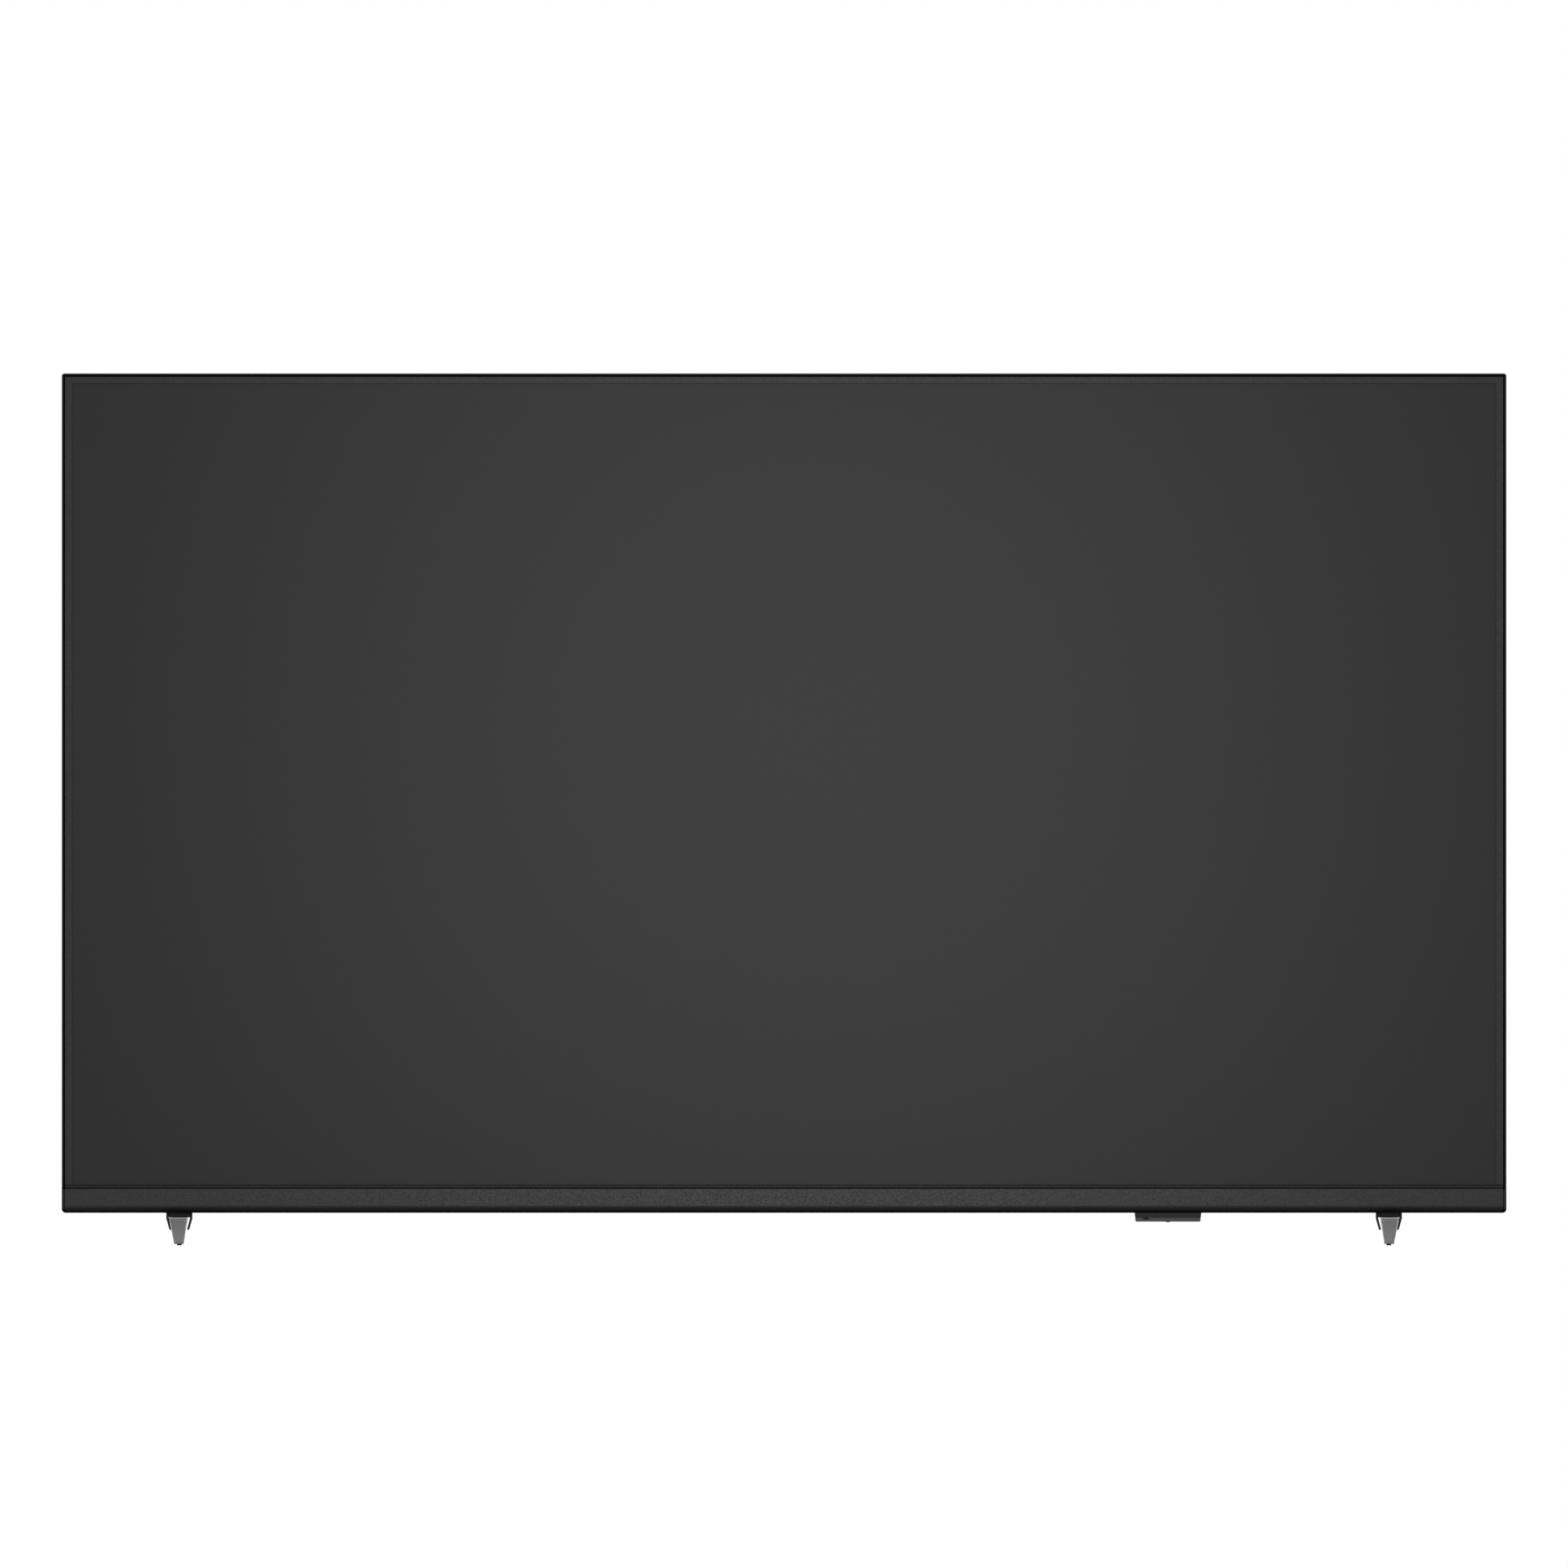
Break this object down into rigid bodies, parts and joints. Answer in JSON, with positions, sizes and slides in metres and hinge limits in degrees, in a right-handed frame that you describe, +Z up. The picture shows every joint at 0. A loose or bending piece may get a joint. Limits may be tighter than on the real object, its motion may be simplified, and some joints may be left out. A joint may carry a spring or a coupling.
{
  "type": "large format display",
  "caption": "Flat 16:9 display on two feet, with a slim trim, chin bar, sensor box, rear connector bays and wall mount bushes.",
  "frame": {"origin": "on the floor, under the middle of the part's box, midway between the feet", "axes": "+X to the viewer's right, the screen faces -Y, +Z up"},
  "size_m": [1.4488, 0.3, 0.8748],
  "materials": {
    "screen_surface": "satin",
    "trim_black": "satin",
    "strip_black": "fine grain",
    "chin_black": "fine grain",
    "cover_black": "moulded texture",
    "leg_silver": "satin silver",
    "neck_black": "satin",
    "pad_rubber": "matte",
    "sheet_steel": "satin",
    "board_green": "satin",
    "chip_black": "matte",
    "fin_aluminium": "satin",
    "contact_metal": "polished",
    "socket_black": "matte",
    "tray_white": "matte",
    "diffuser_white": "matte",
    "gasket_foam": "matte",
    "screw_black": "satin",
    "wire_black": "matte",
    "ribbon_white": "satin",
    "window_dark": "gloss",
    "rocker_black": "gloss",
    "capacitor_sleeve": "gloss"
  },
  "bodies": {
    "display": {"screen_cell": "screen_surface", "cell_gasket": "gasket_foam", "panel_guide": "socket_black", "optical_films": "diffuser_white", "diffuser_plate": "diffuser_white", "diffuser_posts": "tray_white", "reflector_tray": "tray_white", "led_bars": "fin_aluminium", "led_lenses": "diffuser_white", "back_pan": "sheet_steel", "trim_top": "trim_black", "trim_left": "trim_black", "trim_right": "trim_black", "bezel_top": "strip_black", "bezel_left": "strip_black", "bezel_right": "strip_black", "bezel_bottom": "strip_black", "chin_bar": "chin_black", "rear_cover": "cover_black", "cover_screws": "screw_black", "mount_rails": "sheet_steel", "mount_bushes": "contact_metal", "main_board": "board_green", "power_board": "board_green", "timing_board": "board_green", "board_standoffs": "sheet_steel", "board_screws": "contact_metal", "main_board_chips": "chip_black", "processor_heatsink": "fin_aluminium", "hdmi_sockets": "contact_metal", "usb_sockets": "contact_metal", "lan_socket": "contact_metal", "aerial_socket": "contact_metal", "audio_jack": "socket_black", "socket_shields": "sheet_steel", "power_transformers": "chip_black", "power_capacitors": "capacitor_sleeve", "power_heatsinks": "fin_aluminium", "timing_board_cover": "sheet_steel", "source_boards": "board_green", "ribbon_cables": "ribbon_white", "wiring": "wire_black", "speaker_box_left": "socket_black", "speaker_box_right": "socket_black", "speaker_drivers": "chip_black", "mains_inlet": "socket_black", "inlet_pins": "contact_metal", "rocker_frame": "socket_black", "sensor_housing": "trim_black", "sensor_window": "window_dark", "sensor_board": "board_green", "leg_left": "leg_silver", "leg_right": "leg_silver", "sleeve_left": "neck_black", "sleeve_right": "neck_black", "foot_pads": "pad_rubber", "foot_brackets": "sheet_steel", "foot_screws": "screw_black"},
    "standby_button": {"standby_button": "rocker_black"},
    "power_rocker": {"power_rocker": "rocker_black"}
  },
  "joints": [
    {"name": "button_press", "type": "slide", "parent": "display", "child": "standby_button", "axis": [0, 0, 1], "range_m": [0, 0.0004], "stiffness_N_per_m": 800, "springref_m": -0.0005},
    {"name": "rocker_tilt", "type": "hinge", "parent": "display", "child": "power_rocker", "pos_m": [0.35, 0.016, 0.153], "axis": [0, -1, 0], "range_deg": [0, 14]}
  ]
}
